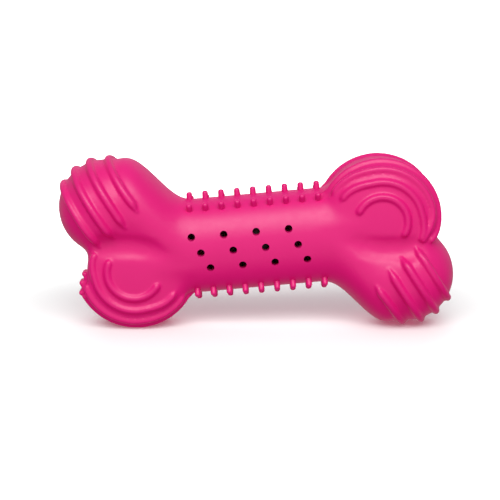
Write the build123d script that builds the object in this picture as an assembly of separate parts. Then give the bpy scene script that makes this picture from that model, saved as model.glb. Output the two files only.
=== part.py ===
from build123d import *
import math
import os

# Rubber chew bone in two moulded halves with a squeaker inside, in millimetres.
# It is drawn in the bone's own frame: X along the shank, Z up across the knobs, front towards -Y,
# centre of the shank at zero. At the end it is tilted to stand on its two lower knobs.

# Shank: an oval bar that swings up at one end and down at the other
shank_half_height = 18.0
shank_half_depth = 15.0
bend_start_x = 24.0
bend_end_x = 47.0
bar_tip_inset = 1.0

# Ridged knobs: upper left, and lower right turned half round
ball_x = 55.5
ball_z = 18.0
ball_radius = 18.0
ridge_count = 4
ridge_pitch = 6.35
ridge_radius = 1.6
ridge_lift = 0.1
ridge_angle = 114.0
ridge_first_wrap_angle = 18.0
ridge_wrap_step_angle = 4.3

# Arc knobs: upper right, and lower left turned half round
disc_x = 46.5
disc_z = 5.3
disc_radius = 22.4
disc_half_depth = 15.5
disc_dome_radius = 80.0
disc_rim_fillet = 7.5
inner_rib_radius = 9.4
inner_rib_start_angle = -33.0
inner_rib_end_angle = 150.0
outer_rib_end_angle = 142.0
shoulder_rib_angles = (89.0, 50.5, 12.0)
rib_tube_radius = 1.3
rib_sink = 0.3
upper_rib_start_angles = (-32.0, -32.0, -32.0)
lower_rib_start_angles = (-32.0, 9.5, 18.0)
lower_step_radius = 17.8
lower_step_end_angle = 13.0

# Nubs in straight rows above and below the shank
nub_count = 9
nub_pitch = 6.0
nub_side_offset = 8.0
nub_height = 3.4
seam_nub_height = 2.2
nub_base_radius = 1.25
nub_tip_radius = 0.95
nub_root = 0.7

# Sound holes through the front and back of the shank
hole_radius = 1.25
hole_columns = 4
hole_pitch = 12.0
hole_row_pitch = 6.0
hole_row_shift = 3.0

# Hollow in the shank, and the tongue that joins the halves round it
wall = 3.5
hollow_half_length = 32.0
hollow_end_fillet = 5.0
tongue_width = 1.2
tongue_height = 1.2
tongue_end_margin = 3.0
tongue_corner = 6.0
tongue_clearance = 0.1

# Squeaker, on an axis straight through the shank from back to front
cup_radius = 9.2
cup_wall = 1.0
cup_plate = 1.2
cup_depth = 5.5
seat_inset = 2.0
seat_clearance = 0.15
collar_wall = 1.9
collar_height = 4.5
bellows_pleats = 3
bellows_wall = 0.7
pleat_depth = 1.6
crown_radius = 8.8
crown_edge = 1.2
crown_dome = 2.8
crown_clearance = 0.7

# Reed tube in the cup's floor
barrel_radius = 3.4
barrel_length = 7.3
barrel_recess = 0.2
barrel_fit = 0.02
flange_radius = 4.8
flange_thickness = 0.8
channel_width = 2.4
channel_depth = 1.6
reed_width = 3.8
reed_length = 5.3
reed_thickness = 0.2
reed_gap = 0.1
reed_tip_inset = 0.3
reed_grip = 1.0

# Standing flats cut on the two lower knobs
foot_cut = 0.5
floor_span = 400.0

front = -1.0
back = 1.0
half_turn = Rot(0, 180, 0)


def smooth_step(t):
    """Ease from 0 to 1 with level ends."""
    t = min(max(t, 0.0), 1.0)
    return t * t * (3.0 - 2.0 * t)


def radial_plane(centre, angle):
    """Plane through the disc axis: its x runs outwards at this angle, its y along the depth."""
    a = math.radians(angle)
    return Plane(origin=centre, x_dir=(math.cos(a), 0, math.sin(a)), z_dir=(-math.sin(a), 0, math.cos(a)))


def bar_station(x):
    """Oval section of the swinging bar at x."""
    t = (abs(x) - bend_start_x) / (bend_end_x - bend_start_x)
    tip = (abs(x) - bend_end_x) / (ball_x - bend_end_x)
    centre_z = -math.copysign(ball_z * smooth_step(t), x)
    half_height = shank_half_height - bar_tip_inset * min(max(tip, 0.0), 1.0)
    section = Plane(origin=(x, 0, centre_z), x_dir=(0, 1, 0), z_dir=(1, 0, 0))
    return section * Ellipse(shank_half_depth, half_height)


def front_room():
    """Box that holds everything in front of the joint plane."""
    return Pos(0, -floor_span / 4, 0) * Box(floor_span, floor_span / 2, floor_span)


def swinging_bar():
    """Front half of the bar from the upper left knob through the shank to the lower right knob."""
    bend_stations = 5
    bend = bend_end_x - bend_start_x
    half = [bend_start_x / 2]
    half += [bend_start_x + bend * i / bend_stations for i in range(bend_stations + 1)]
    half += [ball_x]
    stations = [-x for x in reversed(half)] + [0.0] + half
    return loft([bar_station(x) for x in stations]) & front_room()


def ridged_ball():
    """Front half of the upper left knob: a ball with parallel ridges from its face over its top."""
    centre = Vector(-ball_x, 0, ball_z)
    a = math.radians(ridge_angle)
    over = Vector(math.cos(a), 0, math.sin(a))
    across = Vector(math.sin(a), 0, -math.cos(a))
    depth = Vector(0, -1, 0)
    ridges = []
    for i in range(ridge_count):
        offset = (ridge_count - 1) / 2 - i
        origin = centre + across * (ridge_pitch * offset)
        ring = math.sqrt(ball_radius**2 - (ridge_pitch * offset) ** 2) + ridge_lift
        wrap = 90.0 + ridge_first_wrap_angle + ridge_wrap_step_angle * i
        profile = Plane(origin=origin, x_dir=over, z_dir=depth) * Pos(ring, 0) * Circle(ridge_radius)
        ridges.append(revolve(profile, Axis(origin, across), revolution_arc=wrap))
    ball = (Pos(centre) * Sphere(ball_radius)) & front_room()
    return [ball] + ridges


def rib(centre, radius, depth, start, end):
    """Rounded rib on an arc about the disc axis, with round ends."""
    profile = radial_plane(centre, start) * Pos(radius, depth) * Circle(rib_tube_radius)
    bead = revolve(profile, Axis(centre, (0, -1, 0)), revolution_arc=end - start)
    ends = [radial_plane(centre, a) * Pos(radius, depth) * Sphere(rib_tube_radius) for a in (start, end)]
    return bead.fuse(*ends)


def arc_disc(rib_starts):
    """Front half of an arc knob, drawn at the upper right: a domed disc and the ribs on it."""
    centre = Vector(disc_x, 0, disc_z)
    dome_low = disc_half_depth - disc_dome_radius
    edge = dome_low + math.sqrt(disc_dome_radius**2 - disc_radius**2)
    mid_r = disc_radius / 2
    mid = dome_low + math.sqrt(disc_dome_radius**2 - mid_r**2)
    outline = Polyline((0, -disc_half_depth), (0, 0), (disc_radius, 0), (disc_radius, -edge))
    outline += ThreePointArc((disc_radius, -edge), (mid_r, -mid), (0, -disc_half_depth))
    section = radial_plane(centre, 0) * make_face(outline)
    disc = revolve(section, Axis(centre, (0, -1, 0)))
    rim = [e for e in disc.edges().filter_by(GeomType.CIRCLE) if abs(e.arc_center.Y + edge) < 1e-3]
    disc = fillet(rim, disc_rim_fillet)

    fillet_r = disc_radius - disc_rim_fillet
    fillet_y = dome_low + math.sqrt((disc_dome_radius - disc_rim_fillet) ** 2 - fillet_r**2)
    seat_y = dome_low + math.sqrt(disc_dome_radius**2 - inner_rib_radius**2) - rib_sink
    ribs = [rib(centre, inner_rib_radius, -seat_y, inner_rib_start_angle, inner_rib_end_angle)]
    for angle, start in zip(shoulder_rib_angles, rib_starts):
        reach = disc_rim_fillet - rib_sink
        r = fillet_r + reach * math.cos(math.radians(angle))
        y = fillet_y + reach * math.sin(math.radians(angle))
        ribs.append(rib(centre, r, -y, start, outer_rib_end_angle))
    return disc, ribs


def rim_step():
    """Wedge outside the second rib that is missing where the lower arc knob meets the ball above it."""
    centre = Vector(disc_x, 0, disc_z)
    turn = lower_step_end_angle - lower_rib_start_angles[0]
    section = Rectangle(disc_radius, disc_half_depth)
    section = Pos(lower_step_radius + disc_radius / 2, -disc_half_depth / 2) * section
    profile = radial_plane(centre, lower_rib_start_angles[0]) * section
    return revolve(profile, Axis(centre, (0, -1, 0)), revolution_arc=turn)


def nub(height, turn):
    """One tapered nub with a round tip, whole or cut at the joint, standing on the plane's origin."""
    shoulder = height - nub_tip_radius
    tip_mid = nub_tip_radius * math.sqrt(0.5)
    base = (nub_base_radius, -nub_root)
    outline = Polyline((0, height), (0, -nub_root), base, (nub_tip_radius, shoulder))
    outline += ThreePointArc((nub_tip_radius, shoulder), (tip_mid, shoulder + tip_mid), (0, height))
    return revolve(Plane.XZ * make_face(outline), Axis.Z, revolution_arc=turn)


def nub_rows():
    """Front row and the front half of the joint's row, above the shank and below it."""
    nubs = []
    rows = ((0.0, nub(seam_nub_height, 180.0)), (-nub_side_offset, nub(nub_height, 360.0)))
    for y, shape in rows:
        z = shank_half_height * math.sqrt(1 - (y / shank_half_depth) ** 2)
        normal = Vector(0, y / shank_half_depth**2, z / shank_half_height**2)
        for i in range(nub_count):
            x = (i - (nub_count - 1) / 2) * nub_pitch
            above = Plane(origin=(x, y, z), x_dir=(-1, 0, 0), z_dir=normal) * shape
            nubs += [above, mirror(above, Plane.XY)]
    return nubs


def hollow():
    """Oval hollow along the shank, with rounded ends."""
    section = Plane.YZ * Ellipse(shank_half_depth - wall, shank_half_height - wall)
    bar = extrude(section, hollow_half_length, both=True)
    ends = bar.faces().filter_by(GeomType.PLANE).edges()
    return fillet(ends, hollow_end_fillet)


def sound_holes(side):
    """Slanted columns of holes through one wall of the shank."""
    inner = shank_half_depth - wall - seat_inset
    length = shank_half_depth
    holes = []
    for row in (-1, 0, 1):
        for column in range(hole_columns):
            x = (column - (hole_columns - 1) / 2) * hole_pitch - (row + 1) * hole_row_shift
            z = row * hole_row_pitch
            y = side * (inner + length / 2)
            holes.append(Pos(x, y, z) * Rot(90, 0, 0) * Cylinder(hole_radius, length))
    return holes


def tongue(clearance):
    """Band round the hollow on the joint plane, standing into the front half."""
    rise = shank_half_height - wall / 2
    reach = hollow_half_length + tongue_end_margin
    half = tongue_width / 2 + clearance
    outer = RectangleRounded(2 * (reach + half), 2 * (rise + half), tongue_corner + half)
    inner = RectangleRounded(2 * (reach - half), 2 * (rise - half), tongue_corner - half)
    return extrude(Plane.XZ * (outer - inner), tongue_height + clearance)


def front_form():
    """Front half of the rubber form, hollowed, before its holes and joint are cut."""
    ball = ridged_ball()
    upper_disc, upper_ribs = arc_disc(upper_rib_start_angles)
    lower_disc, lower_ribs = arc_disc(lower_rib_start_angles)
    left = ball + [half_turn * piece for piece in [lower_disc - rim_step()] + lower_ribs]
    right = [half_turn * piece for piece in ball] + [upper_disc] + upper_ribs
    solid = swinging_bar().fuse(*left, *right, *nub_rows()).clean()
    return solid - hollow()


def squeaker_axis(y):
    """Plane across the squeaker's axis at depth y, facing the front."""
    return Plane(origin=(0, y, 0), x_dir=(1, 0, 0), z_dir=(0, -1, 0))


def squeaker_seat(seat_y):
    """Boss on the back wall and the pocket in it that the cup drops into."""
    pocket_radius = cup_radius + seat_clearance
    collar_low = seat_y - collar_height
    ring = squeaker_axis(shank_half_depth) * Circle(pocket_radius + collar_wall)
    boss = extrude(ring, shank_half_depth - collar_low)
    boss = boss & mirror(swinging_bar(), Plane.XZ)
    pocket = extrude(squeaker_axis(seat_y) * Circle(pocket_radius), shank_half_depth)
    return boss, pocket


def ring_solid(points):
    """Turn an outline of (radius, y) points about the squeaker's axis."""
    return revolve(make_face(Polyline(*points, close=True)), Axis.Y)


def squeaker_cup(seat_y):
    """Shallow cup with a hole for the reed tube in its floor."""
    hole = barrel_radius + barrel_fit
    floor_y = seat_y - cup_plate
    rim_y = seat_y - cup_depth
    inner = cup_radius - cup_wall
    outside = [(hole, seat_y), (cup_radius, seat_y), (cup_radius, rim_y)]
    inside = [(inner, rim_y), (inner, floor_y), (hole, floor_y)]
    return ring_solid(outside + inside)


def squeaker_bellows(rim_y, crown_y):
    """Pleated wall between the cup's rim and the crown."""
    step = (rim_y - crown_y) / (2 * bellows_pleats)
    peak = cup_radius
    outer = []
    for i in range(2 * bellows_pleats + 1):
        outer.append((peak - (pleat_depth if i % 2 else 0.0), rim_y - i * step))
    inner = [(r - bellows_wall, y) for r, y in reversed(outer)]
    return ring_solid(outer + inner)


def squeaker_crown(base_y):
    """Domed end of the squeaker."""
    edge_y = base_y - crown_edge
    tip_y = edge_y - crown_dome
    dome = (crown_radius**2 + crown_dome**2) / (2 * crown_dome)
    mid_r = crown_radius / 2
    mid_y = tip_y + dome - math.sqrt(dome**2 - mid_r**2)
    outline = Polyline((0, tip_y), (0, base_y), (crown_radius, base_y), (crown_radius, edge_y))
    outline += ThreePointArc((crown_radius, edge_y), (mid_r, mid_y), (0, tip_y))
    return revolve(make_face(outline), Axis.Y)


def reed_set(seat_y):
    """Reed tube in two halves with the reed held between them."""
    back_y = seat_y - barrel_recess
    tip_y = back_y - barrel_length
    flange_y = seat_y - cup_plate
    reed_low = reed_gap
    reed_top = reed_low + reed_thickness
    root_y = tip_y + reed_tip_inset + reed_length
    tube = extrude(squeaker_axis(back_y) * Circle(barrel_radius), barrel_length)
    collar = extrude(squeaker_axis(flange_y) * Circle(flange_radius), flange_thickness)
    span = 4 * barrel_radius
    lower = Pos(0, 0, -span / 2) * Box(span, span * 2, span)
    channel = Pos(0, 0, -channel_depth / 2) * Box(channel_width, span * 2, channel_depth)
    barrel = ((tube + collar) & lower) - channel

    grip_y = root_y - reed_grip
    upper = Pos(0, grip_y + span / 2, span / 2) * Box(span, span, span)
    root_y_clear = root_y + reed_gap
    root_room = Pos(0, root_y_clear - span / 2, 0) * Box(span, span, 2 * (reed_top + reed_gap))
    plug = ((tube + collar) & upper) - root_room

    reed_mid_y = root_y - reed_length / 2
    reed = Pos(0, reed_mid_y, reed_low + reed_thickness / 2) * Box(reed_width, reed_length, reed_thickness)
    return barrel, plug, reed


def standing_place():
    """Tilt and lift that put the lower left and lower right knobs on the floor."""
    shoulder = math.radians(shoulder_rib_angles[-1])
    reach = disc_rim_fillet - rib_sink
    left = disc_radius - disc_rim_fillet + reach * math.cos(shoulder) + rib_tube_radius
    right = ball_radius + ridge_lift + ridge_radius
    span = math.hypot(ball_x + disc_x, ball_z - disc_z)
    tilt = math.asin((right - left) / span) + math.atan2(ball_z - disc_z, ball_x + disc_x)
    lift = disc_x * math.sin(tilt) + disc_z * math.cos(tilt) + left - foot_cut
    return Pos(0, 0, lift) * Rot(0, -math.degrees(tilt), 0)


def main():
    """Build every piece, stand it up and write it."""
    seat_y = shank_half_depth - wall - seat_inset
    rim_y = seat_y - cup_depth
    crown_y = wall - shank_half_depth + crown_clearance + crown_dome + crown_edge
    form = front_form()
    boss, pocket = squeaker_seat(seat_y)
    front_half = form - sound_holes(front) - tongue(tongue_clearance)
    back_half = mirror(form, Plane.XZ) + boss + tongue(0.0) - pocket - sound_holes(back)
    barrel, plug, reed = reed_set(seat_y)
    place = standing_place()
    floor = Pos(0, 0, -floor_span / 2) * Box(floor_span, floor_span, floor_span)
    pieces = {
        "front_shell": place * front_half - floor,
        "back_shell": place * back_half - floor,
        "squeaker_cup": place * squeaker_cup(seat_y),
        "squeaker_bellows": place * squeaker_bellows(rim_y, crown_y),
        "squeaker_crown": place * squeaker_crown(crown_y),
        "reed_barrel": place * barrel,
        "reed_plug": place * plug,
        "reed": place * reed,
    }
    os.makedirs("parts", exist_ok=True)
    for name, shape in pieces.items():
        export_step(shape, f"parts/{name}.step")


main()
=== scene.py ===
import logging
import math
from dataclasses import dataclass, field
from enum import Enum
from itertools import product
from typing import Callable, Optional, Sequence

import bpy
import numpy as np
from mathutils import Matrix, Vector


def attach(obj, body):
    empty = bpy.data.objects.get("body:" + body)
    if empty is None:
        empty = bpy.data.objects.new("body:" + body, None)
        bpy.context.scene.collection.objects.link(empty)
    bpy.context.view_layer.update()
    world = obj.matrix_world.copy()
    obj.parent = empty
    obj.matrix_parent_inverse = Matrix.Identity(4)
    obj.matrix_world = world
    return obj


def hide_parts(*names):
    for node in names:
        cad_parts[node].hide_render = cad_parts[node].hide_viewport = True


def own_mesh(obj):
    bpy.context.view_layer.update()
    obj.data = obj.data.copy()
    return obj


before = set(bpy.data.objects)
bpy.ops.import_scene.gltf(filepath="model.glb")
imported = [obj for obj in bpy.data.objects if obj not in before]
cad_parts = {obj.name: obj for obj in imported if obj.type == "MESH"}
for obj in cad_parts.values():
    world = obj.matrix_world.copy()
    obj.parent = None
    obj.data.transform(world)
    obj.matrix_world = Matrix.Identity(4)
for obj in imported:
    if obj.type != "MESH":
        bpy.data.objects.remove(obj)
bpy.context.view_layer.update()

Piece = bpy.types.Object
Pair = tuple[float, float]
Triple = tuple[float, float, float]

LOG = logging.getLogger("chew_bone")
MM = 0.001
METRE = 1000.0
FLOAT = "NodeSocketFloat"
COLOUR = "NodeSocketColor"
DEPTH_AXIS = Vector((0.0, -1.0, 0.0))
ALONG_X = (0.0, math.pi / 2.0, 0.0)
ALONG_Y = (math.pi / 2.0, 0.0, 0.0)
WELD = 1e-6
SMOOTHING = 0.5
BEAD_STEPS = 5
FACING = 0.9
SHARP_DEG = 50.0
LIFT_MM = 32.173
BUMP_MM = 0.2
BUMP_STRENGTH = 0.6


class Side(Enum):
    """The two moulded halves of the bone, by the sign of their Y."""

    FRONT = -1.0
    BACK = 1.0


class Cut(Enum):
    """What a boolean does with its second shape."""

    ADD = "UNION"
    TAKE = "DIFFERENCE"
    KEEP = "INTERSECT"


def switch(mode: str) -> None:
    """Change to object or edit mode."""
    bpy.ops.object.mode_set(mode=mode)


def clear_selection() -> None:
    """Leave edit mode and deselect everything, the CAD nodes included."""
    if bpy.context.mode != "OBJECT":
        switch("OBJECT")
    bpy.ops.object.select_all(action="DESELECT")


def added() -> Piece:
    """The object that the last operator added."""
    return bpy.context.active_object


def pick(piece: Piece) -> None:
    """Make a piece the only selected and the active one."""
    clear_selection()
    piece.select_set(True)
    bpy.context.view_layer.objects.active = piece


def settle(piece: Piece) -> Piece:
    """Put the piece's place, turn and scale into its mesh."""
    pick(piece)
    bpy.ops.object.transform_apply(location=True, rotation=True, scale=True)
    return piece


def join(pieces: Sequence[Piece], name: str) -> Piece:
    """Join several pieces into one mesh.

    Args:
        pieces: The objects to join; the first one is kept.
        name: Name of the joined object.

    Returns:
        The joined object.
    """
    clear_selection()
    for piece in pieces:
        piece.select_set(True)
    bpy.context.view_layer.objects.active = pieces[0]
    bpy.ops.object.join()
    pieces[0].name = name
    return pieces[0]


def twin(piece: Piece, place: Matrix) -> Piece:
    """Copy a piece with its own mesh to another place.

    Args:
        piece: The object to copy.
        place: Where the copy goes, as a world matrix.

    Returns:
        The copy, with its place in its mesh.
    """
    pick(piece)
    bpy.ops.object.duplicate(linked=False)
    copy = added()
    copy.matrix_world = place
    return settle(copy)


def discard(piece: Piece) -> None:
    """Delete a helper shape and its mesh."""
    data = piece.data
    bpy.data.objects.remove(piece)
    bpy.data.meshes.remove(data)


def face_out(piece: Piece) -> Piece:
    """Merge doubles and turn all normals outwards."""
    pick(piece)
    switch("EDIT")
    bpy.ops.mesh.select_all(action="SELECT")
    bpy.ops.mesh.remove_doubles(threshold=WELD)
    bpy.ops.mesh.normals_make_consistent(inside=False)
    switch("OBJECT")
    return piece


def carve(piece: Piece, tool: Piece, cut: Cut) -> Piece:
    """Combine a piece with a tool shape and delete the tool.

    Args:
        piece: Closed mesh that is kept.
        tool: Closed mesh that is used up.
        cut: Whether the tool is added, taken away or the common part is kept.

    Returns:
        The changed piece.
    """
    pick(piece)
    modifier = piece.modifiers.new("carve", "BOOLEAN")
    modifier.operation = cut.value
    modifier.solver = "MANIFOLD"
    modifier.object = tool
    bpy.ops.object.modifier_apply(modifier=modifier.name)
    discard(tool)
    return piece


def knit(piece: Piece, voxel_mm: float) -> Piece:
    """Fuse overlapping shapes into one even skin.

    Args:
        piece: Object whose mesh holds the overlapping closed shapes.
        voxel_mm: Grid step in millimetres.

    Returns:
        The same object with one skin.
    """
    pick(piece)
    modifier = piece.modifiers.new("knit", "REMESH")
    modifier.mode = "VOXEL"
    modifier.voxel_size = voxel_mm * MM
    modifier.adaptivity = 0.0
    bpy.ops.object.modifier_apply(modifier=modifier.name)
    return piece


def select_only(piece: Piece, kind: str, mask: Sequence[bool]) -> None:
    """Enter edit mode with only the chosen vertices or faces selected.

    Args:
        piece: Object to edit.
        kind: VERT or FACE.
        mask: For each vertex or face, whether it is chosen.
    """
    pick(piece)
    switch("EDIT")
    bpy.ops.mesh.select_mode(type=kind)
    bpy.ops.mesh.select_all(action="DESELECT")
    switch("OBJECT")
    parts = piece.data.vertices if kind == "VERT" else piece.data.polygons
    parts.foreach_set("select", mask)
    switch("EDIT")


def soften(piece: Piece, repeat: int, mask: Optional[np.ndarray] = None) -> None:
    """Smooth a skin, all over or at chosen points.

    Args:
        piece: Object to smooth.
        repeat: How many smoothing passes.
        mask: Which vertices to smooth; all if left out.
    """
    if mask is None:
        mask = np.ones(len(piece.data.vertices), bool)
    select_only(piece, "VERT", mask)
    bpy.ops.mesh.vertices_smooth(factor=SMOOTHING, repeat=repeat)
    switch("OBJECT")


def hollow_bend(piece: Piece) -> np.ndarray:
    """Measure how far each vertex lies below its neighbours, in millimetres.

    Args:
        piece: Object with an even skin.

    Returns:
        One number for each vertex, above zero in a crease and below zero on a bulge.
    """
    mesh = piece.data
    count = len(mesh.vertices)
    points, normals = np.empty(count * 3), np.empty(count * 3)
    mesh.vertices.foreach_get("co", points)
    mesh.vertex_normals.foreach_get("vector", normals)
    points, normals = points.reshape(-1, 3) / MM, normals.reshape(-1, 3)
    ends = np.empty(len(mesh.edges) * 2, int)
    mesh.edges.foreach_get("vertices", ends)
    a, b = ends.reshape(-1, 2).T
    degree = np.bincount(ends, minlength=count)
    axes = [np.bincount(a, points[b, k], count) + np.bincount(b, points[a, k], count) for k in range(3)]
    mean = np.stack(axes, axis=1) / degree[:, None]
    return ((mean - points) * normals).sum(axis=1)


def fill_creases(piece: Piece, rounds: int, passes: int, limit_mm: float) -> None:
    """Round out the creases where shapes meet and leave everything that bulges as it is.

    Args:
        piece: Object with an even skin.
        rounds: How often the creases are looked for again.
        passes: Smoothing passes in each round.
        limit_mm: Depth below its neighbours from which a vertex counts as a crease.
    """
    for _ in range(rounds):
        soften(piece, passes, hollow_bend(piece) > limit_mm)


def bevel_faces(piece: Piece, offset_mm: float, segments: int, chosen: Callable[[Vector], bool]) -> Piece:
    """Round the edges of the faces that a test on their normals picks.

    Args:
        piece: Object to bevel.
        offset_mm: Bevel width in millimetres.
        segments: Steps across the rounding.
        chosen: Test on a face normal.

    Returns:
        The same object.
    """
    select_only(piece, "FACE", [chosen(face.normal) for face in piece.data.polygons])
    bpy.ops.mesh.bevel(offset=offset_mm * MM, segments=segments, affect="EDGES")
    switch("OBJECT")
    return piece


def shade(piece: Piece) -> None:
    """Shade a piece smooth and keep its sharp edges."""
    pick(piece)
    bpy.ops.object.shade_smooth_by_angle(angle=math.radians(SHARP_DEG))


def cylinder(radius: float, length: float, turn: Triple, sides: int, y: float = 0.0) -> Piece:
    """Make a plain cylinder, measured in millimetres.

    Args:
        radius: Its radius.
        length: Its length.
        turn: ALONG_X or ALONG_Y.
        sides: Facets round it.
        y: Depth of its middle.

    Returns:
        The cylinder, with its place in its mesh.
    """
    clear_selection()
    bpy.ops.mesh.primitive_cylinder_add(
        vertices=sides,
        radius=radius * MM,
        depth=length * MM,
        rotation=turn,
        location=(0.0, y * MM, 0.0),
    )
    return settle(added())


def turned(profile: Sequence[Pair], centre: Vector, steps: int, name: str) -> Piece:
    """Turn a closed or axis-to-axis profile about a line along Y.

    Args:
        profile: (radius, y) points in millimetres.
        centre: Point on the turning line, in millimetres.
        steps: Facets round the turn.
        name: Name of the new object.

    Returns:
        A closed turned shape.
    """
    clear_selection()
    bpy.ops.mesh.primitive_plane_add(size=MM)
    piece = added()
    piece.name = name
    switch("EDIT")
    bpy.ops.mesh.select_mode(type="VERT")
    bpy.ops.mesh.select_all(action="SELECT")
    bpy.ops.mesh.merge(type="CENTER")
    points = [Vector((centre.x + r, centre.y + y, centre.z)) * MM for r, y in profile]
    bpy.ops.transform.translate(value=points[0])
    for last, here in zip(points, points[1:]):
        bpy.ops.mesh.extrude_region_move(TRANSFORM_OT_translate={"value": here - last})
    bpy.ops.mesh.select_all(action="SELECT")
    bpy.ops.mesh.spin(steps=steps, angle=2.0 * math.pi, center=centre * MM, axis=DEPTH_AXIS)
    switch("OBJECT")
    return face_out(piece)


def bead(points: Sequence[Vector], radii: Sequence[float], name: str) -> Piece:
    """Lay a round bead along a path, with its own thickness at each point.

    Args:
        points: Path points in millimetres.
        radii: Bead radius at each point in millimetres.
        name: Name of the new object.

    Returns:
        A closed mesh bead.
    """
    clear_selection()
    bpy.ops.curve.primitive_nurbs_path_add()
    piece = added()
    piece.name = name
    curve = piece.data
    curve.splines.clear()
    spline = curve.splines.new("POLY")
    spline.points.add(len(points) - 1)
    for knot, point, radius in zip(spline.points, points, radii):
        knot.co = (*(point * MM), 1.0)
        knot.radius = radius
    curve.bevel_depth = MM
    curve.bevel_resolution = BEAD_STEPS
    curve.use_fill_caps = True
    pick(piece)
    bpy.ops.object.convert(target="MESH")
    return face_out(added())


def hug(base: Piece, point: Vector, lift: float) -> Vector:
    """Find the spot of a skin that is nearest to a point, raised along its normal.

    Args:
        base: Object at the origin whose skin is followed.
        point: A point near the skin, in millimetres.
        lift: Height above the skin in millimetres.

    Returns:
        The raised spot in millimetres.
    """
    _, spot, normal, _ = base.closest_point_on_mesh(point * MM)
    return spot / MM + normal * lift


def ease(t: float) -> float:
    """Rise from 0 to 1 with level ends."""
    t = min(max(t, 0.0), 1.0)
    return t * t * (3.0 - 2.0 * t)


def radial(angle_deg: float) -> Vector:
    """Unit vector at an angle in the XZ plane."""
    a = math.radians(angle_deg)
    return Vector((math.cos(a), 0.0, math.sin(a)))


def add_node(
    tree: bpy.types.NodeTree, kind: str, values: Optional[dict] = None, **settings: object
) -> bpy.types.Node:
    """Add a shader node and set it up.

    Args:
        tree: The node tree it goes into.
        kind: Its type, without the common first word.
        values: Its fixed inputs, by name or number.
        settings: Its own settings, such as the operation.

    Returns:
        The node.
    """
    node = tree.nodes.new(f"ShaderNode{kind}")
    for name, setting in settings.items():
        setattr(node, name, setting)
    for socket, value in (values or {}).items():
        node.inputs[socket].default_value = value
    return node


def smooth_ramp(
    tree: bpy.types.NodeTree, value: bpy.types.NodeSocket, reach: Pair, levels: Pair = (0.0, 1.0)
) -> bpy.types.NodeSocket:
    """Turn a value into a level that changes smoothly over a range.

    Args:
        tree: The node tree that the ramp goes into.
        value: Socket with the value.
        reach: Where the change starts and ends.
        levels: The level before and after it.

    Returns:
        Socket with the level.
    """
    ends = {"From Min": reach[0], "From Max": reach[1], "To Min": levels[0], "To Max": levels[1]}
    ramp = add_node(tree, "MapRange", ends, interpolation_type="SMOOTHSTEP")
    tree.links.new(value, ramp.inputs["Value"])
    return ramp.outputs["Result"]


@dataclass
class SwingingBar:
    """The oval shank that swings up into one ball and down into the other, in millimetres."""

    half_height: float = 18.0
    half_depth: float = 15.0
    bend_start: float = 24.0
    bend_end: float = 47.0
    reach_x: float = 55.5
    reach_z: float = 18.0
    tip_inset: float = 1.0
    tip_depth: float = 17.2
    core_x: float = 42.0
    core_z: float = 4.8
    core_depth: float = 14.7
    core_height: float = 13.0
    sides: int = 96
    step: float = 1.25

    def station(self, x: float) -> tuple[Vector, float, float]:
        """Centre, half height and half depth of the bar's section.

        Args:
            x: Place along the bar.

        Returns:
            The section's centre, its half height and its half depth.
        """
        rise = ease((abs(x) - self.bend_start) / (self.bend_end - self.bend_start))
        tip = min(max((abs(x) - self.bend_end) / (self.reach_x - self.bend_end), 0.0), 1.0)
        centre = Vector((x, 0.0, -math.copysign(self.reach_z * rise, x)))
        depth = self.half_depth + (self.tip_depth - self.half_depth) * rise
        return centre, self.half_height - self.tip_inset * tip, depth

    def build(self) -> Piece:
        """Extrude the oval section from station to station."""
        count = round(2.0 * self.reach_x / self.step)
        places = [-self.reach_x + 2.0 * self.reach_x * i / count for i in range(count + 1)]
        stations = [self.station(x) for x in places]
        centre, height, depth = stations[0]
        clear_selection()
        bpy.ops.mesh.primitive_circle_add(
            vertices=self.sides, radius=1.0, fill_type="NGON", rotation=ALONG_X
        )
        bar = settle(added())
        bar.name = "swinging_bar"
        switch("EDIT")
        bpy.ops.mesh.select_all(action="SELECT")
        bpy.ops.transform.resize(value=(1.0, depth * MM, height * MM), center_override=(0.0, 0.0, 0.0))
        bpy.ops.transform.translate(value=centre * MM)
        for (last, low, thin), (here, high, thick) in zip(stations, stations[1:]):
            bpy.ops.mesh.extrude_region_move(TRANSFORM_OT_translate={"value": (here - last) * MM})
            if (high, thick) != (low, thin):
                growth = (1.0, thick / thin, high / low)
                bpy.ops.transform.resize(value=growth, center_override=here * MM)
        switch("OBJECT")
        return face_out(bar)

    def core(self) -> Piece:
        """Lay a straight oval core from disc to disc, which fills the dip beside them."""
        core = cylinder(METRE, 2.0 * self.core_x, ALONG_X, self.sides)
        core.name = "straight_core"
        core.scale = (1.0, self.core_depth * MM, self.core_height * MM)
        core.rotation_euler = (0.0, -math.atan2(self.core_z, self.core_x), 0.0)
        return settle(core)


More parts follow.
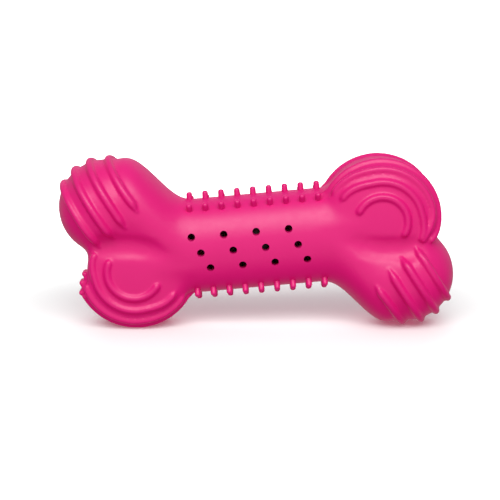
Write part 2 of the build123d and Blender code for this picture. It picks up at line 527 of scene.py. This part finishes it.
@dataclass
class RidgedBall:
    """A ball knob with parallel ridges that run from its front over its crown to its back."""

    centre: Vector
    ridge_angle: float
    radius: float = 18.0
    ridge_count: int = 4
    ridge_pitch: float = 6.35
    ridge_radius: float = 1.43
    ridge_lift: float = 0.26
    ridge_shift: float = 1.2
    first_wrap: float = 117.0
    wrap_step: float = 4.3
    taper: float = 16.0
    tip_radius: float = 0.5
    tip_sink: float = 0.3
    step: float = 3.0
    sides: int = 96
    rings: int = 64

    def ridge(self, base: Piece, index: int) -> Piece:
        """Lay one ridge round the ball, thinning out at both ends.

        Args:
            base: The blended form that the ridge follows.
            index: Which ridge, from the shank side outwards.

        Returns:
            The ridge bead.
        """
        over = radial(self.ridge_angle)
        across = Vector((over.z, 0.0, -over.x))
        offset = self.ridge_pitch * ((self.ridge_count - 1) / 2.0 - index) + self.ridge_shift
        ring = math.sqrt(self.radius**2 - offset**2)
        wrap = self.first_wrap + self.wrap_step * index
        count = round(2.0 * wrap / self.step)
        points, radii = [], []
        for i in range(count + 1):
            turn = -wrap + 2.0 * wrap * i / count
            fade = ease((wrap - abs(turn)) / self.taper)
            a = math.radians(turn)
            spoke = over * math.cos(a) + DEPTH_AXIS * math.sin(a)
            spot = self.centre + across * offset + spoke * ring
            points.append(hug(base, spot, self.ridge_lift - self.tip_sink * (1.0 - fade)))
            radii.append(self.tip_radius + (self.ridge_radius - self.tip_radius) * fade)
        return bead(points, radii, "ball_ridge")

    def body(self) -> Piece:
        """Make the plain ball."""
        clear_selection()
        bpy.ops.mesh.primitive_uv_sphere_add(
            segments=self.sides,
            ring_count=self.rings,
            radius=self.radius * MM,
            location=self.centre * MM,
        )
        return settle(added())

    def beads(self, base: Piece) -> list[Piece]:
        """Lay all ridges on the blended form."""
        return [self.ridge(base, i) for i in range(self.ridge_count)]


@dataclass
class ArcDisc:
    """A domed disc knob with a hooked rib on each face and three ribs round each shoulder.

    One of the two has a step in its rim, with small teeth at (angle, distance from the centre).
    """

    centre: Vector
    turn: float
    outer_starts: Triple
    radius: float = 22.1
    half_depth: float = 14.8
    dome_radius: float = 80.0
    rim_fillet: float = 7.5
    inner_radius: float = 9.4
    inner_start: float = -33.0
    inner_end: float = 150.0
    outer_end: float = 155.0
    shoulder_angles: Triple = (89.0, 50.5, 12.0)
    inner_bead: float = 1.4
    outer_bead: float = 1.35
    sink: float = 0.1
    rib_end: float = 0.5
    spread: float = 0.17
    spread_from: float = 95.0
    spread_over: float = 55.0
    notch_radius: float = 16.2
    notch_share: float = 0.9
    notch_from: float = 12.0
    notch_over: float = 40.0
    fade_angle: float = 14.0
    step_radius: Optional[float] = None
    step_end: float = 13.0
    teeth: tuple[Pair, ...] = ()
    tooth_radius: float = 0.95
    tooth_y: float = 6.5
    tooth_reach: float = 3.0
    tooth_step: float = 1.3
    tooth_bars: int = 3
    tooth_form: tuple[Pair, ...] = ((-1.0, 0.55), (-0.75, 1.0), (0.75, 1.0), (1.0, 0.55))
    step: float = 3.0
    sides: int = 128
    face_steps: int = 12
    wedge_steps: int = 16

    def dome_y(self, r: float) -> float:
        """Depth of the domed face at a radius."""
        return self.half_depth - self.dome_radius + math.sqrt(self.dome_radius**2 - r**2)

    def shoulder(self, angle: float, reach: float) -> Pair:
        """Radius and depth of a point on the rim's rounding.

        Args:
            angle: Angle on the rounding, from the rim up to the face.
            reach: Distance from the rounding's centre.

        Returns:
            The point's radius and depth.
        """
        centre_r = self.radius - self.rim_fillet
        low = self.half_depth - self.dome_radius
        centre_y = low + math.sqrt((self.dome_radius - self.rim_fillet) ** 2 - centre_r**2)
        a = math.radians(angle)
        return centre_r + reach * math.cos(a), centre_y + reach * math.sin(a)

    def rib(self, base: Piece, place: Pair, span: Pair, thick: float, hooked: bool) -> list[Piece]:
        """Lay the same rib on the front and the back face.

        Args:
            base: The blended form that the rib follows.
            place: Radius of the rib's arc and depth of its middle.
            span: First and last angle of the arc.
            thick: Bead radius.
            hooked: Whether it is a true arc with blunt ends, not one that fades into the shank.

        Returns:
            The two beads.
        """
        (r, y), (start, end) = place, span
        count = round((end - start) / self.step)
        blunt = math.degrees(thick / r)
        beads = []
        for side in Side:
            points, radii = [], []
            for i in range(count + 1):
                angle = start + (end - start) * i / count
                near = min(angle - start, end - angle)
                fade = math.sqrt(max(1.0 - max(1.0 - near / blunt, 0.0) ** 2, 0.0))
                reach = r
                if not hooked:
                    fade = min(fade, ease((end - angle) / self.fade_angle))
                    reach *= 1.0 + self.spread * ease((angle - self.spread_from) / self.spread_over)
                    pull = ease((self.notch_from - angle) / self.notch_over)
                    reach += self.notch_share * (self.notch_radius - r) * pull
                depth = Vector((0.0, side.value * y, 0.0))
                spot = self.centre + radial(angle + self.turn) * reach + depth
                points.append(hug(base, spot, -self.sink - self.rib_end * thick * (1.0 - fade)))
                radii.append(max(thick * fade, self.rib_end * thick))
            beads.append(bead(points, radii, "arc_rib"))
        return beads

    def body(self) -> Piece:
        """Turn the domed disc, with the step in its rim where it has one."""
        centre_r, centre_y = self.shoulder(0.0, 0.0)
        tangent = math.degrees(math.atan2(centre_y - self.half_depth + self.dome_radius, centre_r))
        edge_r, _ = self.shoulder(tangent, self.rim_fillet)
        steps = self.face_steps
        face = [(edge_r * i / steps, self.dome_y(edge_r * i / steps)) for i in range(steps)]
        rim = [self.shoulder(tangent * (1.0 - i / steps), self.rim_fillet) for i in range(steps + 1)]
        front = face + rim
        profile = front + [(r, -y) for r, y in reversed(front)]
        disc = turned(profile, self.centre, self.sides, "arc_disc")
        if self.step_radius is not None:
            carve(disc, self.rim_step(), Cut.TAKE)
        return disc

    def rim_step(self) -> Piece:
        """Wedge that is missing outside the second rib, next to the ball above."""
        clear_selection()
        low = self.outer_starts[0] + self.turn
        high = self.step_end + self.turn
        reach = self.radius
        middle = self.step_radius + reach / 2.0
        bpy.ops.mesh.primitive_plane_add(size=1.0)
        wedge = added()
        wedge.name = "rim_step"
        wedge.scale = (reach * MM, 4.0 * self.half_depth * MM, 1.0)
        wedge.rotation_euler = (0.0, -math.radians(low), 0.0)
        wedge.location = (self.centre + radial(low) * middle) * MM
        settle(wedge)
        switch("EDIT")
        bpy.ops.mesh.select_all(action="SELECT")
        bpy.ops.mesh.spin(
            steps=self.wedge_steps,
            angle=math.radians(high - low),
            center=self.centre * MM,
            axis=-DEPTH_AXIS,
        )
        switch("OBJECT")
        return face_out(wedge)

    def tooth(self, angle: float, r: float) -> Piece:
        """Lay a short round bar across the rim.

        Args:
            angle: Its place round the disc.
            r: Its distance from the disc's centre.

        Returns:
            The bar.
        """
        spot = self.centre + radial(angle + self.turn) * r
        depths = [self.tooth_y + self.tooth_reach * place for place, _ in self.tooth_form]
        radii = [self.tooth_radius * thick for _, thick in self.tooth_form]
        return bead([spot + DEPTH_AXIS * depth for depth in depths], radii, "rim_tooth")

    def beads(self, base: Piece) -> list[Piece]:
        """Lay all ribs on the blended form, and the teeth where the rim has a step."""
        place = (self.inner_radius, self.dome_y(self.inner_radius))
        pieces = self.rib(base, place, (self.inner_start, self.inner_end), self.inner_bead, True)
        for angle, start in zip(self.shoulder_angles, self.outer_starts):
            place = self.shoulder(angle, self.rim_fillet)
            pieces += self.rib(base, place, (start, self.outer_end), self.outer_bead, False)
        for angle, r in self.teeth:
            pieces += [self.tooth(angle, r - self.tooth_step * i) for i in range(self.tooth_bars)]
        return pieces


@dataclass
class KnobValley:
    """The soft valley between a disc knob and a ball, deepest near the notch in the outline."""

    start: Vector = field(default_factory=lambda: Vector((22.0, 0.0, 0.2)))
    end: Vector = field(default_factory=lambda: Vector((62.0, 0.0, -7.0)))
    radius: float = 7.0
    shallow: float = -0.2
    depth: float = 1.5
    rise: float = 1.5
    fall: float = 3.0
    fall_end: float = 1.1
    ray_start: float = 30.0
    count: int = 24

    def tools(self, base: Piece) -> list[Piece]:
        """Shape the rods that press the valleys into the form, front and back, at both ends.

        Args:
            base: The blended form that the rods follow.

        Returns:
            One rod for each valley.
        """
        rods = []
        for end, side in product((1.0, -1.0), Side):
            points = []
            for i in range(self.count + 1):
                share = i / self.count
                away = Vector((0.0, side.value, 0.0))
                spot = self.start.lerp(self.end, share) * end + away * self.ray_start
                hit, place, normal, _ = base.ray_cast(spot * MM, -away)
                if hit:
                    level = min(ease(self.rise * share), ease(self.fall * (self.fall_end - share)))
                    press = self.shallow + (self.depth - self.shallow) * level
                    points.append(place / MM + normal * (self.radius - press))
            rods.append(bead(points, [self.radius] * len(points), "valley_rod"))
        return rods


@dataclass
class NubRows:
    """Small round-tipped nubs in straight rows above and below the shank."""

    half_height: float = 18.0
    half_depth: float = 15.0
    count: int = 9
    pitch: float = 6.0
    side_offset: float = 8.0
    height: float = 3.0
    seam_height: float = 2.7
    base_radius: float = 1.25
    tip_radius: float = 1.05
    root: float = 1.0
    tip_round: float = 0.75
    tip_steps: int = 5
    sides: int = 24

    def nub(self, height: float) -> Piece:
        """Model one nub on the origin, standing along Z.

        Args:
            height: How far it stands out.

        Returns:
            The nub.
        """
        clear_selection()
        full = (height + self.root) * MM
        bpy.ops.mesh.primitive_cone_add(
            vertices=self.sides,
            radius1=self.base_radius * MM,
            radius2=self.tip_radius * MM,
            depth=full,
            location=(0.0, 0.0, full / 2.0 - self.root * MM),
        )
        nub = settle(added())
        rounding = self.tip_round * self.tip_radius
        return bevel_faces(nub, rounding, self.tip_steps, lambda normal: normal.z > FACING)

    def build(self) -> list[Piece]:
        """Model a nub for each row and copy it along the shank, above and below."""
        nubs = []
        side = self.side_offset
        for y, height in ((-side, self.height), (0.0, self.seam_height), (side, self.height)):
            model = self.nub(height)
            z = self.half_height * math.sqrt(1.0 - (y / self.half_depth) ** 2)
            for up in (1.0, -1.0):
                normal = Vector((0.0, y / self.half_depth**2, up * z / self.half_height**2)).normalized()
                turn = normal.to_track_quat("Z", "Y").to_matrix().to_4x4()
                for i in range(self.count):
                    x = (i - (self.count - 1) / 2.0) * self.pitch
                    place = Matrix.Translation(Vector((x, y, up * z)) * MM) @ turn
                    nubs.append(twin(model, place))
            discard(model)
        return nubs


@dataclass
class SoundHoles:
    """Slanted columns of round holes through the shank."""

    front_radius: float = 1.42
    back_radius: float = 1.25
    columns: int = 4
    pitch: float = 12.0
    row_pitch: float = 6.0
    row_shift: float = 3.0
    reach: float = 50.0
    sides: int = 32

    def pins(self, side: Side) -> Piece:
        """Make the pins that mould the holes of one half, right through its wall."""
        radius = self.front_radius if side is Side.FRONT else self.back_radius
        model = cylinder(radius, self.reach, ALONG_Y, self.sides)
        pins = []
        for row, column in product((-1, 0, 1), range(self.columns)):
            x = (column - (self.columns - 1) / 2.0) * self.pitch - (row + 1) * self.row_shift
            pins.append(twin(model, Matrix.Translation(Vector((x, 0.0, row * self.row_pitch)) * MM)))
        discard(model)
        return join(pins, "hole_pins")


@dataclass
class ShankHollow:
    """The hollow in the shank and the collar in its back that holds the squeaker."""

    half_depth: float = 11.5
    half_height: float = 14.5
    half_length: float = 32.0
    end_round: float = 5.0
    pocket_radius: float = 9.35
    collar_radius: float = 11.25
    collar_front: float = 5.0
    collar_back: float = 11.6
    seat_y: float = 9.5
    end_steps: int = 8
    sides: int = 96

    def core(self) -> Piece:
        """Shape the core that leaves the hollow: an oval bar with rounded ends."""
        core = cylinder(1.0, 2.0 * self.half_length, ALONG_X, self.sides)
        core.name = "hollow_core"
        core.scale = (1.0, self.half_depth, self.half_height)
        settle(core)
        bevel_faces(core, self.end_round, self.end_steps, lambda normal: abs(normal.x) > FACING)
        return face_out(core)

    def collar(self) -> Piece:
        """Boss that the squeaker's pocket is sunk in."""
        front, back = self.collar_front, self.collar_back
        return cylinder(self.collar_radius, back - front, ALONG_Y, self.sides, (front + back) / 2.0)

    def pocket(self) -> Piece:
        """Pocket that the squeaker's cup drops into."""
        front, back = -self.half_depth / 2.0, self.seat_y
        return cylinder(self.pocket_radius, back - front, ALONG_Y, self.sides, (front + back) / 2.0)


@dataclass(frozen=True)
class Finish:
    """One surface finish, with the numbers its material is built from."""

    name: str
    colour: Triple
    shade: Triple
    roughness: float
    roughness_swing: float
    specular: float
    grain_mm: float
    grain_depth: float
    drift_mm: float
    metallic: float = 0.0


PINK_RUBBER = Finish(
    name="pink_rubber", colour=(0.70, 0.0065, 0.180), shade=(0.65, 0.005, 0.162), roughness=0.38,
    roughness_swing=0.08, specular=0.42, grain_mm=0.45, grain_depth=0.10, drift_mm=16.0,
)
BLACK_PLASTIC = Finish(
    name="black_squeaker_plastic", colour=(0.012, 0.012, 0.013), shade=(0.020, 0.020, 0.022),
    roughness=0.55, roughness_swing=0.12, specular=0.4, grain_mm=0.6, grain_depth=0.12,
    drift_mm=4.0,
)
BELLOWS_VINYL = Finish(
    name="black_bellows_vinyl", colour=(0.016, 0.016, 0.018), shade=(0.026, 0.026, 0.029),
    roughness=0.48, roughness_swing=0.14, specular=0.45, grain_mm=0.5, grain_depth=0.08,
    drift_mm=3.0,
)
TUBE_PLASTIC = Finish(
    name="natural_tube_plastic", colour=(0.55, 0.53, 0.48), shade=(0.44, 0.42, 0.37),
    roughness=0.42, roughness_swing=0.10, specular=0.5, grain_mm=0.4, grain_depth=0.06,
    drift_mm=3.0,
)
REED_BRASS = Finish(
    name="rolled_reed_brass", colour=(0.78, 0.56, 0.23), shade=(0.66, 0.44, 0.17), roughness=0.30,
    roughness_swing=0.12, specular=0.5, grain_mm=0.25, grain_depth=0.04, drift_mm=2.0, metallic=1.0,
)


class FinishShop:
    """Builds the shared node groups once and a material for each finish."""

    def __init__(self) -> None:
        """Build the node groups that all finishes share."""
        self.grain = self.grain_group()
        self.drift = self.drift_group()
        self.made: dict[str, bpy.types.Material] = {}

    @staticmethod
    def new_group(name: str, inputs: dict[str, str], outputs: dict[str, str]) -> tuple:
        """Start a shader node group with named sockets.

        Args:
            name: Name of the group.
            inputs: Socket type of each input, by name.
            outputs: Socket type of each output, by name.

        Returns:
            The group, the sockets that give its inputs and those that take its outputs.
        """
        group = bpy.data.node_groups.new(name, "ShaderNodeTree")
        for way, sockets in (("INPUT", inputs), ("OUTPUT", outputs)):
            for label, kind in sockets.items():
                group.interface.new_socket(label, in_out=way, socket_type=kind)
        given, taken = group.nodes.new("NodeGroupInput"), group.nodes.new("NodeGroupOutput")
        return group, given.outputs, taken.inputs

    def grain_group(self) -> bpy.types.NodeTree:
        """Fine moulded grain with soft dimples, as a height for a bump."""
        inputs = {"Scale": FLOAT, "Depth": FLOAT}
        group, given, taken = self.new_group("moulded_grain", inputs, {"Height": FLOAT})
        links = group.links
        place = add_node(group, "TexCoord").outputs["Object"]
        fine = add_node(group, "TexNoise", {"Detail": 3.0, "Roughness": 0.55})
        slow = add_node(group, "TexNoise", {"Detail": 1.0})
        slower = add_node(group, "Math", {1: 0.22}, operation="MULTIPLY")
        blend = add_node(group, "Math", operation="ADD")
        depth = add_node(group, "Math", operation="MULTIPLY")
        links.new(given["Scale"], fine.inputs["Scale"])
        links.new(given["Scale"], slower.inputs[0])
        links.new(slower.outputs[0], slow.inputs["Scale"])
        links.new(place, fine.inputs["Vector"])
        links.new(place, slow.inputs["Vector"])
        links.new(fine.outputs["Fac"], blend.inputs[0])
        links.new(slow.outputs["Fac"], blend.inputs[1])
        links.new(blend.outputs[0], depth.inputs[0])
        links.new(given["Depth"], depth.inputs[1])
        links.new(depth.outputs[0], taken["Height"])
        return group

    def drift_group(self) -> bpy.types.NodeTree:
        """Slow drift between two tones, and a roughness that drifts with a finer mottle."""
        inputs = {"Colour": COLOUR, "Shade": COLOUR, "Scale": FLOAT, "Rough Low": FLOAT, "Rough High": FLOAT}
        outputs = {"Colour": COLOUR, "Roughness": FLOAT}
        group, given, taken = self.new_group("tone_drift", inputs, outputs)
        links = group.links
        place = add_node(group, "TexCoord").outputs["Object"]
        tone = add_node(group, "TexNoise", {"Detail": 4.0})
        mottle = add_node(group, "TexNoise", {"Detail": 2.0})
        finer = add_node(group, "Math", {1: 7.0}, operation="MULTIPLY")
        mix = add_node(group, "Mix", data_type="RGBA")
        spread = add_node(group, "MapRange", {"From Min": 0.3, "From Max": 0.7})
        links.new(place, tone.inputs["Vector"])
        links.new(place, mottle.inputs["Vector"])
        links.new(given["Scale"], tone.inputs["Scale"])
        links.new(given["Scale"], finer.inputs[0])
        links.new(finer.outputs[0], mottle.inputs["Scale"])
        links.new(tone.outputs["Fac"], mix.inputs["Factor"])
        links.new(given["Colour"], mix.inputs["A"])
        links.new(given["Shade"], mix.inputs["B"])
        links.new(mix.outputs["Result"], taken["Colour"])
        links.new(mottle.outputs["Fac"], spread.inputs["Value"])
        links.new(given["Rough Low"], spread.inputs["To Min"])
        links.new(given["Rough High"], spread.inputs["To Max"])
        links.new(spread.outputs["Result"], taken["Roughness"])
        return group

    def material(self, finish: Finish) -> bpy.types.Material:
        """Build, or find, the material of a finish.

        Args:
            finish: The finish to build.

        Returns:
            Its material.
        """
        if finish.name in self.made:
            return self.made[finish.name]
        material = bpy.data.materials.new(finish.name)
        material.use_nodes = True
        tree = material.node_tree
        links = tree.links
        shader = tree.nodes["Principled BSDF"]
        tones = {
            "Colour": (*finish.colour, 1.0),
            "Shade": (*finish.shade, 1.0),
            "Scale": 1.0 / (finish.drift_mm * MM),
            "Rough Low": finish.roughness - finish.roughness_swing / 2.0,
            "Rough High": finish.roughness + finish.roughness_swing / 2.0,
        }
        relief = {"Scale": 1.0 / (finish.grain_mm * MM), "Depth": finish.grain_depth}
        drift = add_node(tree, "Group", tones, node_tree=self.drift)
        grain = add_node(tree, "Group", relief, node_tree=self.grain)
        bump = add_node(tree, "Bump", {"Distance": BUMP_MM * MM, "Strength": BUMP_STRENGTH})
        links.new(drift.outputs["Colour"], shader.inputs["Base Color"])
        links.new(drift.outputs["Roughness"], shader.inputs["Roughness"])
        links.new(grain.outputs["Height"], bump.inputs["Height"])
        links.new(bump.outputs["Normal"], shader.inputs["Normal"])
        shader.inputs["Specular IOR Level"].default_value = finish.specular
        shader.inputs["Metallic"].default_value = finish.metallic
        self.made[finish.name] = material
        return material

    def dress(self, piece: Piece, finish: Finish) -> None:
        """Give a piece one finish all over."""
        piece.data.materials.clear()
        piece.data.materials.append(self.material(finish))


@dataclass
class RubberBone:
    """The two rubber halves: their common form, their hollow and the way they stand."""

    shop: FinishShop
    tilt_deg: float = 5.12222
    lift: float = LIFT_MM
    ridge_angle: float = 118.0
    disc_x: float = 46.5
    disc_z: float = 5.3
    cut_span: float = 400.0
    blend_mm: float = 0.8
    blend_start: int = 3
    blend_rounds: int = 12
    blend_passes: int = 12
    blend_limit: float = 0.006
    valley_passes: int = 9
    skin_mm: float = 0.44
    skin_passes: int = 2
    teeth: tuple[Pair, ...] = (
        (0.0, 19.2),
        (4.8, 18.7),
        (9.5, 20.9),
        (14.2, 20.6),
        (18.7, 22.4),
        (24.0, 21.9),
    )
    bar: SwingingBar = field(default_factory=SwingingBar)
    valley: KnobValley = field(default_factory=KnobValley)
    nubs: NubRows = field(default_factory=NubRows)
    holes: SoundHoles = field(default_factory=SoundHoles)
    hollow: ShankHollow = field(default_factory=ShankHollow)

    def knobs(self) -> list["RidgedBall | ArcDisc"]:
        """Lay out the four knobs: two ridged balls and two arc discs."""
        ball = Vector((-self.bar.reach_x, 0.0, self.bar.reach_z))
        disc = Vector((self.disc_x, 0.0, self.disc_z))
        step = {"inner_radius": 9.9, "step_radius": 17.8, "teeth": self.teeth}
        return [
            RidgedBall(ball, self.ridge_angle),
            RidgedBall(-ball, self.ridge_angle + 180.0),
            ArcDisc(disc, 0.0, (-32.0, -32.0, -32.0), inner_start=-39.0, inner_end=156.0),
            ArcDisc(-disc, 180.0, (-32.0, 9.5, 18.0), **step),
        ]

    def form(self) -> Piece:
        """Blend the bar and the plain knobs, press in the valleys, then add the beads and the nubs."""
        knobs = self.knobs()
        form = join([self.bar.build(), self.bar.core()] + [knob.body() for knob in knobs], "bone_form")
        knit(form, self.blend_mm)
        soften(form, self.blend_start)
        fill_creases(form, self.blend_rounds, self.blend_passes, self.blend_limit)
        for rod in self.valley.tools(form):
            carve(form, rod, Cut.TAKE)
        knit(form, self.blend_mm)
        soften(form, self.valley_passes)
        form = join([form] + [bead for knob in knobs for bead in knob.beads(form)], "bone_form")
        knit(form, self.skin_mm)
        soften(form, self.skin_passes)
        return carve(form, join(self.nubs.build(), "nubs"), Cut.ADD)

    def half(self, form: Piece, side: Side, name: str) -> Piece:
        """Cut one half from the form and hollow it.

        Args:
            form: The whole bone.
            side: Which half.
            name: Name of the half.

        Returns:
            The half, still in the bone's own frame.
        """
        half = twin(form, Matrix.Identity(4))
        half.name = name
        clear_selection()
        middle = (0.0, side.value * self.cut_span / 2.0 * MM, 0.0)
        bpy.ops.mesh.primitive_cube_add(size=self.cut_span * MM, location=middle)
        carve(half, settle(added()), Cut.KEEP)
        carve(half, self.hollow.core(), Cut.TAKE)
        if side is Side.BACK:
            carve(half, self.hollow.collar(), Cut.ADD)
            carve(half, self.hollow.pocket(), Cut.TAKE)
        return carve(half, self.holes.pins(side), Cut.TAKE)

    def stand(self, half: Piece) -> None:
        """Tilt and lift a half and flatten it where it rests on the floor."""
        tilt = Matrix.Rotation(-math.radians(self.tilt_deg), 4, "Y")
        half.matrix_world = Matrix.Translation((0.0, 0.0, self.lift * MM)) @ tilt
        settle(half)
        select_only(half, "VERT", [vertex.co.z < 0.0 for vertex in half.data.vertices])
        bpy.ops.transform.resize(value=(1.0, 1.0, 0.0), center_override=(0.0, 0.0, 0.0))
        switch("OBJECT")

    def build(self) -> None:
        """Build, dress and place both halves."""
        form = self.form()
        halves = (
            (Side.FRONT, "front_rubber", "front_shell"),
            (Side.BACK, "back_rubber", "back_shell"),
        )
        for side, name, node in halves:
            half = self.half(form, side, name)
            self.stand(half)
            shade(half)
            self.shop.dress(half, PINK_RUBBER)
            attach(half, "bone")
            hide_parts(node)
            LOG.info("%s: %d faces", name, len(half.data.polygons))
        discard(form)


@dataclass
class Squeaker:
    """The squeaker inside: a soft bellows of its own, and the finishes of the hard pieces."""

    shop: FinishShop
    lift: float = LIFT_MM
    rim_y: float = 4.0
    crown_y: float = -6.8
    peak_radius: float = 9.2
    pleat_depth: float = 1.6
    pleats: int = 3
    wall: float = 0.7
    travel: float = 4.0
    samples: int = 16
    sides: int = 72

    def wave(self, share: float) -> float:
        """Outer radius along the bellows, with round pleats."""
        swing = 0.5 - 0.5 * math.cos(2.0 * math.pi * self.pleats * share)
        return self.peak_radius - self.pleat_depth * swing

    def bellows(self) -> Piece:
        """Turn the pleated wall."""
        length = self.rim_y - self.crown_y
        count = self.samples * self.pleats
        shares = [i / count for i in range(count + 1)]
        outer = [(self.wave(share), self.rim_y - share * length) for share in shares]
        inner = [(r - self.wall, y) for r, y in reversed(outer)]
        profile = outer + inner + [outer[0]]
        return turned(profile, Vector((0.0, 0.0, self.lift)), self.sides, "pleated_bellows")

    def build(self) -> None:
        """Build the bellows and dress the squeaker's hard pieces."""
        bellows = self.bellows()
        shade(bellows)
        self.shop.dress(bellows, BELLOWS_VINYL)
        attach(bellows, "bone")
        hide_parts("squeaker_bellows")
        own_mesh(bellows)
        LOG.info("pleated_bellows: %d faces", len(bellows.data.polygons))
        finishes = {
            "squeaker_cup": BLACK_PLASTIC,
            "squeaker_crown": BLACK_PLASTIC,
            "reed_barrel": TUBE_PLASTIC,
            "reed_plug": TUBE_PLASTIC,
            "reed": REED_BRASS,
        }
        for node, finish in finishes.items():
            self.shop.dress(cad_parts[node], finish)
            LOG.info("%s: %s", node, finish.name)


@dataclass
class Studio:
    """Pale floor, soft light and the camera; one triple holds the near, behind and far levels of the painted
    light on the floor.
    """

    target: Vector = field(default_factory=lambda: Vector((0.0, 0.0, 32.0)))
    aim: Vector = field(default_factory=lambda: Vector((-2.74, 0.0, 28.30)))
    distance: float = 470.0
    elevation_deg: float = 11.64
    azimuth_deg: float = -0.6
    lens: float = 89.0
    sensor: float = 36.0
    clip_start: float = 0.01
    floor_size: float = 400.0
    floor_roughness: float = 0.9
    floor_specular: float = 0.1
    floor_tone: Triple = (0.88, 0.91, 0.90)
    # Painted light on the floor: emission levels in front, behind and far off, and where they change by
    # depth and by distance.
    floor_painted_light: Triple = (0.22, 0.0, 0.85)
    painted_light_depth: Pair = (-0.05, 0.025)
    painted_light_reach: Pair = (0.07, 0.25)
    sky_low: Triple = (0.66, 0.08, 0.40)
    sky_high: Triple = (0.30, 0.30, 0.30)
    sky_front: Triple = (0.72, 0.72, 0.72)
    sky_back: Triple = (0.42, 0.38, 0.40)
    sky_rise: Pair = (-0.35, 0.35)
    front_band: Pair = (-0.45, -0.95)
    back_band: Pair = (0.2, 0.7)
    sun_strength: float = 0.58
    sun_turn_deg: float = 42.0
    sun_angle_deg: float = 55.0
    softbox_watts: float = 6.9
    backlight_watts: float = 4.5
    softbox_size: Pair = (1.1, 0.5)
    softbox_place: Triple = (0.0, -0.65, 0.72)
    backlight_place: Triple = (0.0, 0.75, 0.45)

    def camera(self) -> None:
        """Place the camera in front and a little above."""
        e, a = math.radians(self.elevation_deg), math.radians(self.azimuth_deg)
        away = Vector((math.sin(a) * math.cos(e), -math.cos(a) * math.cos(e), math.sin(e)))
        place = (self.target + away * self.distance) * MM
        clear_selection()
        bpy.ops.object.camera_add(location=place)
        camera = added()
        camera.rotation_euler = (self.aim * MM - place).to_track_quat("-Z", "Y").to_euler()
        camera.data.lens = self.lens
        camera.data.sensor_width = self.sensor
        camera.data.clip_start = self.clip_start
        bpy.context.scene.camera = camera

    def floor(self) -> None:
        """Lay the pale floor, with painted light: it glows a little in front of the object and brightly far
        from it, which lifts the lamps' shadows on it.
        """
        clear_selection()
        bpy.ops.mesh.primitive_plane_add(size=self.floor_size)
        floor = added()
        floor.name = "pale_floor"
        material = bpy.data.materials.new("pale_floor")
        material.use_nodes = True
        tree = material.node_tree
        links = tree.links
        shader = tree.nodes["Principled BSDF"]
        shader.inputs["Base Color"].default_value = (*self.floor_tone, 1.0)
        shader.inputs["Roughness"].default_value = self.floor_roughness
        shader.inputs["Specular IOR Level"].default_value = self.floor_specular
        # Painted light: the floor's emission, not a lamp, whitens it in front and far off and lifts the
        # shadows there.
        shader.inputs["Emission Color"].default_value = (1.0, 1.0, 1.0, 1.0)
        place = add_node(tree, "TexCoord")
        split = add_node(tree, "SeparateXYZ")
        away = add_node(tree, "VectorMath", operation="LENGTH")
        painted_glow = add_node(tree, "Math", operation="ADD")
        links.new(place.outputs["Object"], split.inputs["Vector"])
        links.new(place.outputs["Object"], away.inputs[0])
        near, behind, far = self.floor_painted_light
        links.new(smooth_ramp(tree, split.outputs["Y"], self.painted_light_depth, (near, behind)), painted_glow.inputs[0])
        links.new(smooth_ramp(tree, away.outputs["Value"], self.painted_light_reach, (0.0, far)), painted_glow.inputs[1])
        links.new(painted_glow.outputs[0], shader.inputs["Emission Strength"])
        floor.data.materials.append(material)
        floor.visible_diffuse = False
        floor.visible_glossy = False

    def lights(self) -> None:
        """Set the soft sun, hang the key softbox and a backlight without gloss, and light the room."""
        clear_selection()
        bpy.ops.object.light_add(type="SUN", rotation=(math.radians(self.sun_turn_deg), 0.0, 0.0))
        sun = added()
        sun.data.energy = self.sun_strength
        sun.data.angle = math.radians(self.sun_angle_deg)
        self.softbox(self.softbox_place, self.softbox_watts)
        backlight = self.softbox(self.backlight_place, self.backlight_watts)
        backlight.visible_glossy = False
        self.sky()

    def softbox(self, spot: Triple, watts: float) -> Piece:
        """Hang a soft rectangular light that faces the object.

        Args:
            spot: Its place in metres.
            watts: Its strength.

        Returns:
            The light.
        """
        place = Vector(spot)
        clear_selection()
        bpy.ops.object.light_add(type="AREA", location=place)
        softbox = added()
        softbox.rotation_euler = (self.target * MM - place).to_track_quat("-Z", "Y").to_euler()
        softbox.data.energy = watts
        softbox.data.shape = "RECTANGLE"
        softbox.data.size, softbox.data.size_y = self.softbox_size
        return softbox

    def sky(self) -> None:
        """Light the room from all round: pale above, pink below, bright in front and dim behind."""
        world = bpy.context.scene.world or bpy.data.worlds.new("studio")
        bpy.context.scene.world = world
        world.use_nodes = True
        tree = world.node_tree
        links = tree.links
        place = add_node(tree, "TexCoord")
        split = add_node(tree, "SeparateXYZ")
        links.new(place.outputs["Generated"], split.inputs["Vector"])
        bands = (
            ("Z", self.sky_rise, self.sky_high),
            ("Y", self.front_band, self.sky_front),
            ("Y", self.back_band, self.sky_back),
        )
        last = None
        for axis, reach, colour in bands:
            tones = {"A": (*self.sky_low, 1.0), "B": (*colour, 1.0)}
            mix = add_node(tree, "Mix", tones, data_type="RGBA")
            links.new(smooth_ramp(tree, split.outputs[axis], reach), mix.inputs["Factor"])
            if last is not None:
                links.new(last, mix.inputs["A"])
            last = mix.outputs["Result"]
        links.new(last, tree.nodes["Background"].inputs["Color"])

    def build(self) -> None:
        """Set up floor, lights, camera and the plain view transform."""
        self.floor()
        self.lights()
        self.camera()
        bpy.context.scene.view_settings.view_transform = "Standard"
        bpy.context.scene.view_settings.look = "None"


def main() -> None:
    """Build the bone, its squeaker and the studio, and note the sizes."""
    logging.basicConfig(level=logging.INFO, format="%(name)s %(message)s")
    shop = FinishShop()
    RubberBone(shop).build()
    Squeaker(shop).build()
    Studio().build()


if __name__ == "__main__":
    main()
